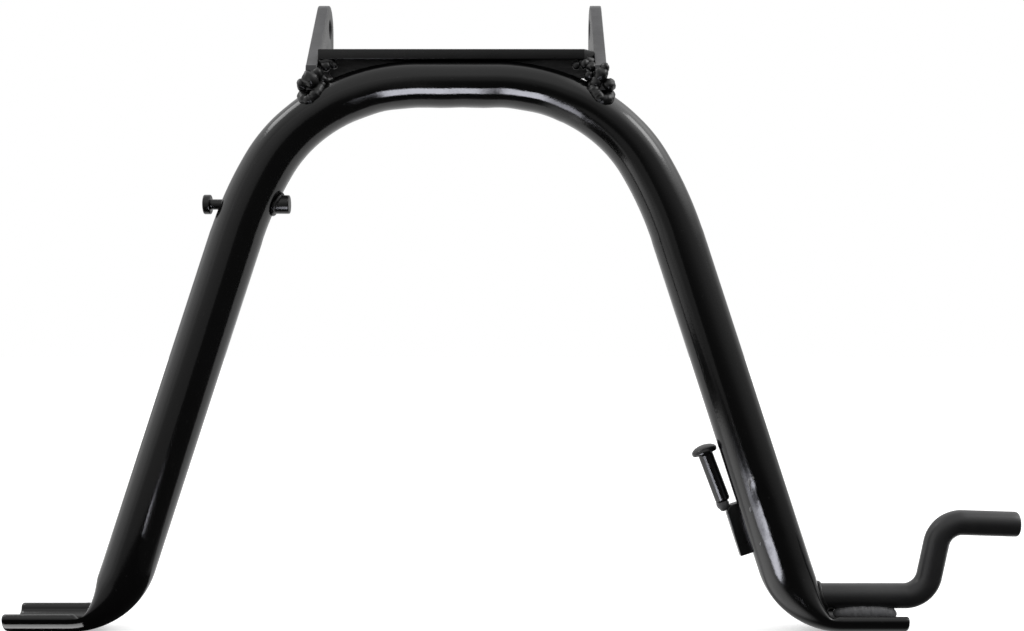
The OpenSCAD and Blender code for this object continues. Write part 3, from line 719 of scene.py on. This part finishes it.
def collar(bar_h, r, surface_x):
    """Points of a bead round a level bar, on a surface given by its place across."""
    points = []
    for i in range(13):
        a = 2 * math.pi * i / 12 + 0.4
        y, h = r * math.cos(a), bar_h + r * math.sin(a)
        points.append((surface_x(y, h), y, h))
    return points


def leg_inside_x(y, h):
    return -flank_x(h, -TUBE_R) + 0.4


def leg_outside_x(y, h):
    return leg_x(h) + math.sqrt(max(TUBE_R ** 2 - y * y, 0)) / math.cos(SPLAY) + 0.5


ring = collar(PIN_H, 4.8, leg_inside_x)
bead("spring_pin_bead", ring, 0.9, ["spring_pin_weld"], seed=6, count=80, closed_ends=False)
back = TAB_BACK + TAB_T / 2
reach = -math.sqrt(TUBE_R ** 2 - back ** 2) - 0.8
down_tab = [on_leg(reach, back + 0.6, z) for z in (-TAB_L - 1.5, -TAB_L * 0.6, -TAB_L * 0.3, -3)]
bead("tab_bead", down_tab, 2.1, ["tab_weld"], seed=7)
# The peg's weld and the lever's bed weld take the painted sheen
verts, faces = blob(on_leg(-18.3, TAB_BACK, 0.9), 3.1, 8.0)
piece("peg_bead", verts, faces, ["peg_weld"], WELD_PAINTED_SHEEN, 60)
bed = [
    (HEEL_X - 3, -1.4, 8.4), (HEEL_X + 8, -1.4, 9.2),
    (HEEL_X + 18, -1.4, 9.2), (FOOT_END_X - 2.5, -1.4, 8.2),
]
bead("lever_bed_bead", bed, 4.5, ["lever_bed_weld"], seed=9, count=90, ripple=2.6, wave=0.03,
     swell=0.08, taper=0.35, material=WELD_PAINTED_SHEEN)
ring = collar(ROD_H, 6.0, leg_outside_x)
bead("lever_collar_bead", ring, 1.1, ["lever_collar_weld"], seed=10, count=90, closed_ends=False,
     wave=0.04)


def spatter():
    """Chips and weld spatter on the front of the right leg, near the peg's tab."""
    verts, faces = [], []
    # Across from the leg's middle, height, size and how long for its width
    for u, h, size, tall in (
        (-5.2, 72.5, 0.9, 2.0), (-3.0, 74.8, 0.6, 1.2), (-5.7, 69.6, 0.6, 1.7),
        (-8.2, 59.7, 0.75, 2.1), (-8.7, 43.2, 0.6, 1.5),
    ):
        x = leg_x(h) + u / math.cos(SPLAY)
        y = -math.sqrt(TUBE_R ** 2 - u * u) - 0.02
        chip = blob(Vector((x, y, h)), size, h, rows=8, n=10, flat=(0.8, 0.5, tall))
        verts, faces = joined(verts, faces, *chip)
    piece("leg_spatter", verts, faces, [], CHIP, 60)


spatter()


# Studio

FLOOR_Z = row((0, 0, -0.15)).z
# Depth at which the floor is cut in two
FLOOR_EDGE = row((0, 32, 0)).y
FLOOR_COLOUR, FLOOR_GLOW, SHEET_COLOUR = 0.85, 0.45, 0.05


def stage_plane(name, x0, x1, y0, y1, z, colour, strength):
    """A level plane of the stage with an even glow that only the camera sees."""
    mesh = bpy.data.meshes.new(name)
    mesh.from_pydata([(x0, y0, z), (x1, y0, z), (x1, y1, z), (x0, y1, z)], [], [(0, 1, 2, 3)])
    obj = bpy.data.objects.new(name, mesh)
    bpy.context.scene.collection.objects.link(obj)
    m = bpy.data.materials.new(name)
    m.use_nodes = True
    nodes, links = m.node_tree.nodes, m.node_tree.links
    bsdf = nodes["Principled BSDF"]
    bsdf.inputs["Base Color"].default_value = (colour, colour, colour, 1)
    bsdf.inputs["Roughness"].default_value = 0.9
    bsdf.inputs["Specular IOR Level"].default_value = 0.0
    glow = nodes.new("ShaderNodeEmission")
    glow.inputs["Strength"].default_value = strength
    add = nodes.new("ShaderNodeAddShader")
    gate = nodes.new("ShaderNodeMixShader")
    path = nodes.new("ShaderNodeLightPath")
    links.new(bsdf.outputs["BSDF"], add.inputs[0])
    links.new(glow.outputs["Emission"], add.inputs[1])
    links.new(path.outputs["Is Camera Ray"], gate.inputs["Fac"])
    links.new(bsdf.outputs["BSDF"], gate.inputs[1])
    links.new(add.outputs["Shader"], gate.inputs[2])
    links.new(gate.outputs["Shader"], nodes["Material Output"].inputs["Surface"])
    mesh.materials.append(m)
    return obj


stage_plane("floor", -3, 3, FLOOR_EDGE, 4, FLOOR_Z, FLOOR_COLOUR, FLOOR_GLOW)
# In front of the object the floor shows to the camera but not in the paint's reflections
front = stage_plane("floor_front", -3, 3, -4, FLOOR_EDGE, FLOOR_Z, FLOOR_COLOUR, FLOOR_GLOW)
front.visible_glossy = False
front.visible_diffuse = False
# A dark sheet just under the floor keeps the left leg and foot as dark as they are
sheet_front = row((0, -210, 0)).y
stage_plane("sheet_dark", -0.27, -0.104, sheet_front, FLOOR_EDGE, FLOOR_Z - 0.001, SHEET_COLOUR, 0.0)


def studio_world():
    """White to the camera; to the object a dark front, a soft top and pale sides and back."""
    world = bpy.data.worlds.new("studio")
    bpy.context.scene.world = world
    world.use_nodes = True
    tree = world.node_tree
    nodes, links = tree.nodes, tree.links
    nodes.clear()
    coord = nodes.new("ShaderNodeTexCoord")
    split = nodes.new("ShaderNodeSeparateXYZ")
    links.new(coord.outputs["Generated"], split.inputs[0])
    x, y, z = split.outputs

    def term(source, low, high, new_low, new_high):
        return remap(tree, source, low, high, new_low, new_high, "SMOOTHSTEP")

    def combine(op, a, b):
        n = nodes.new("ShaderNodeMath")
        n.operation = op
        links.new(a, n.inputs[0])
        links.new(b, n.inputs[1])
        return n.outputs[0]

    def background():
        n = nodes.new("ShaderNodeBackground")
        n.inputs["Color"].default_value = (1, 1, 1, 1)
        return n

    above_floor = term(z, -0.2, 0.1, 0.0, 1.0)
    total = term(z, -0.05, 0.35, 0.06, 0.30)
    for part in (
        # high, left, right, high on the right, back
        term(z, 0.34, 0.7, 0.0, 0.45),
        term(x, -1.0, -0.6, 0.85, 0.0),
        combine("MULTIPLY", above_floor, term(x, 0.3, 0.95, 0.03, 0.15)),
        term(combine("MULTIPLY", x, z), 0.25, 0.48, 0.0, 1.4),
        term(y, 0.1, 0.6, 0.0, 0.30),
    ):
        total = combine("ADD", total, part)
    env, white = background(), background()
    links.new(total, env.inputs["Strength"])
    path = nodes.new("ShaderNodeLightPath")
    pick = nodes.new("ShaderNodeMixShader")
    seen = combine("MAXIMUM", path.outputs["Is Camera Ray"], path.outputs["Is Transmission Ray"])
    links.new(seen, pick.inputs["Fac"])
    links.new(env.outputs[0], pick.inputs[1])
    links.new(white.outputs[0], pick.inputs[2])
    out = nodes.new("ShaderNodeOutputWorld")
    links.new(pick.outputs[0], out.inputs["Surface"])


studio_world()


def lamp(name, place, target, size, radiance, diffuse=True, tint=(1, 1, 1)):
    """A soft rectangular lamp of a given brightness, aimed at a point; places in mm, size in m."""
    data = bpy.data.lights.new(name, "AREA")
    data.shape = "RECTANGLE"
    data.size, data.size_y = size
    data.color = tint
    data.energy = radiance * math.pi * size[0] * size[1]
    obj = bpy.data.objects.new(name, data)
    obj.location = row(place)
    obj.rotation_euler = (row(target) - row(place)).to_track_quat("-Z", "Y").to_euler()
    obj.visible_camera = False
    obj.visible_diffuse = diffuse
    bpy.context.scene.collection.objects.link(obj)


# The bright band in the paint comes from a lamp low in front, which fades out to the left in steps
LOW_TINT = (0.95, 0.96, 1.06)
LOW_H, ABOVE_H = -120, 300
for name, left_x, right_x, near_y, depth, radiance in (
    ("low_front", -85, 6, -180, 0.34, 15), ("low_front_fade", -110, -85, -180, 0.24, 8),
    ("low_front_dim", -140, -110, -175, 0.22, 6), ("low_front_end", -190, -140, -170, 0.16, 5),
):
    x, y = (left_x + right_x) / 2, near_y - depth * 500
    size = ((right_x - left_x) / 1000, depth)
    lamp(name, (x, y, LOW_H), (x, y, ABOVE_H), size, radiance, False, LOW_TINT)
lamp("foot_glow", (-199, -14.2, -0.6), (-199, -14.2, ABOVE_H), (0.046, 0.0065), 3.6, diffuse=False)
lamp("left_panel", (-376, -440, 250), (-376, 0, 250), (0.65, 0.62), 0.25, diffuse=False)
lamp("high_left", (-1500, 300, 2000), (-60, 0, 200), (0.9, 0.9), 3.5)
lamp("high_right", (1500, -250, 1500), (90, 0, 200), (0.6, 0.6), 5.0)

# Camera: where the photo was taken from, with its picture width and focal length in pixels
CAMERA_PLACE, PICTURE_W, FOCAL_PX, SENSOR_W = (26.5, -625, 151.5), 1024, 1299, 36
data = bpy.data.cameras.new("camera")
data.sensor_width = SENSOR_W
data.lens = FOCAL_PX / PICTURE_W * SENSOR_W
data.clip_start = 0.01
cam = bpy.data.objects.new("camera", data)
cam.location = row(CAMERA_PLACE)
cam.rotation_euler = (math.pi / 2, 0, 0)
bpy.context.scene.collection.objects.link(cam)
bpy.context.scene.camera = cam
bpy.context.scene.view_settings.view_transform = "Standard"
